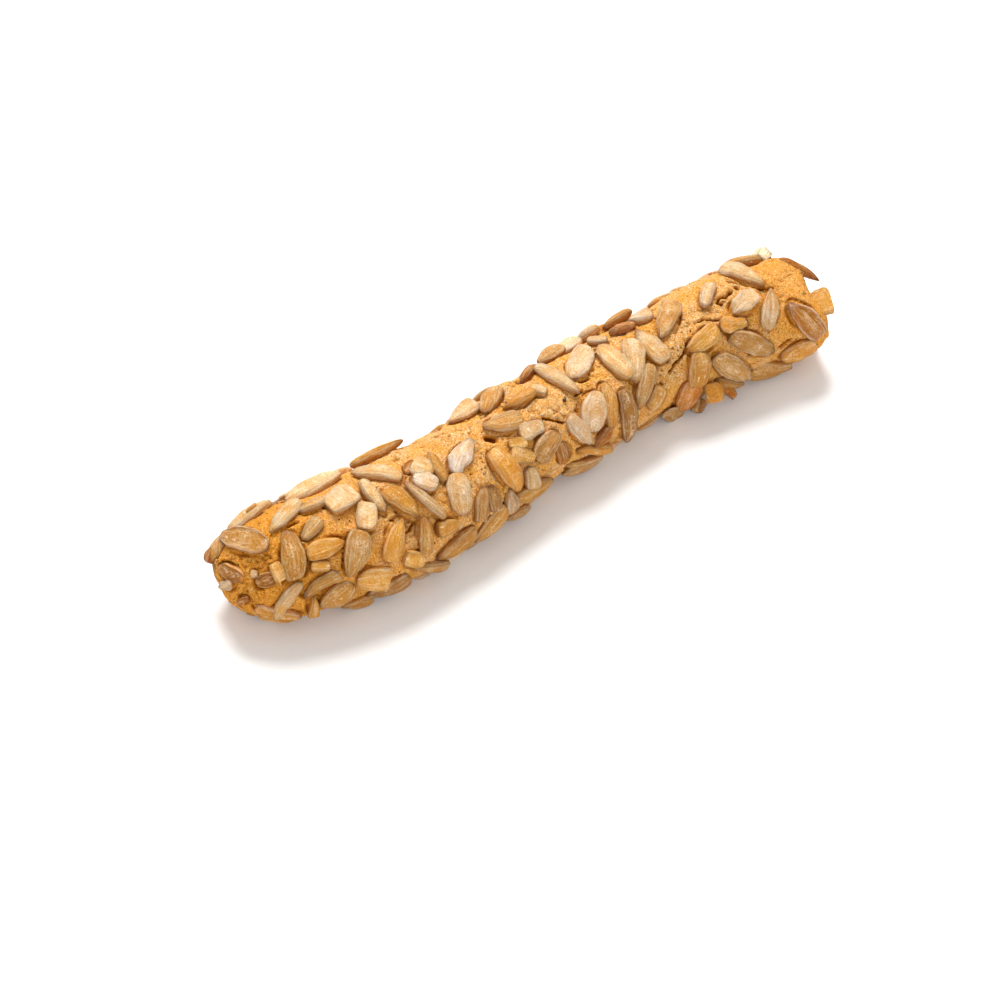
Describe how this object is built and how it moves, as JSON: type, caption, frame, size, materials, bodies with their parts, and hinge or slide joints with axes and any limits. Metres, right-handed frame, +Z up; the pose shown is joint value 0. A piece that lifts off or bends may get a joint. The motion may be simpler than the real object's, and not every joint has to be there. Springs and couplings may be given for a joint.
{
  "type": "grissini breadstick",
  "caption": "Hand-rolled grissini breadstick with a gentle bend, blunt rounded ends and a flat baked sole, its golden crust coated all round in sunflower kernels.",
  "frame": {"origin": "on the flat sole, midway along the dough, where the surface that carries the stick is", "axes": "+X along the stick, from its thicker end to its thinner end; +Y sideways; +Z up, away from the sole"},
  "size_m": [0.1595, 0.0381, 0.0254],
  "materials": {
    "crust": "matt golden baked crust, paler where it has torn, coated in sunflower kernels",
    "kernels": "satin roasted sunflower kernels, cream to golden brown"
  },
  "bodies": {
    "root": {"breadstick": "crust"}
  },
  "joints": []
}
